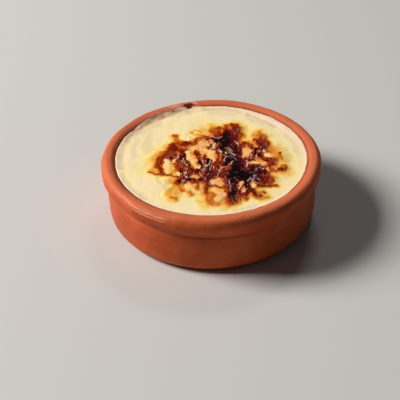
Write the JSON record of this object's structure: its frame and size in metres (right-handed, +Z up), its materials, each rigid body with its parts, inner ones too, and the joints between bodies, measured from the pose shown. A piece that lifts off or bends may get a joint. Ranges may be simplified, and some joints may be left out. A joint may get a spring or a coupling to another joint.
{
  "type": "baked rice pudding in a clay bowl",
  "caption": "Round terracotta bowl with a thick rounded lip, filled to the brim with set rice pudding whose milk skin is blistered and caramelised in the middle.",
  "frame": {"origin": "centre of the bowl's underside, on the surface that the part stands on", "axes": "+Z up along the axis that the bowl was turned about; the view from -Y is the front"},
  "size_m": [0.12, 0.12, 0.036],
  "materials": {
    "terracotta": "fired red-orange clay with faint turning marks, satin from a thin burnish",
    "pudding": "cream milk skin, satin, with amber to near black glossy caramelised blisters in the middle"
  },
  "bodies": {
    "root": {"bowl": "terracotta", "pudding": "pudding"}
  },
  "joints": []
}
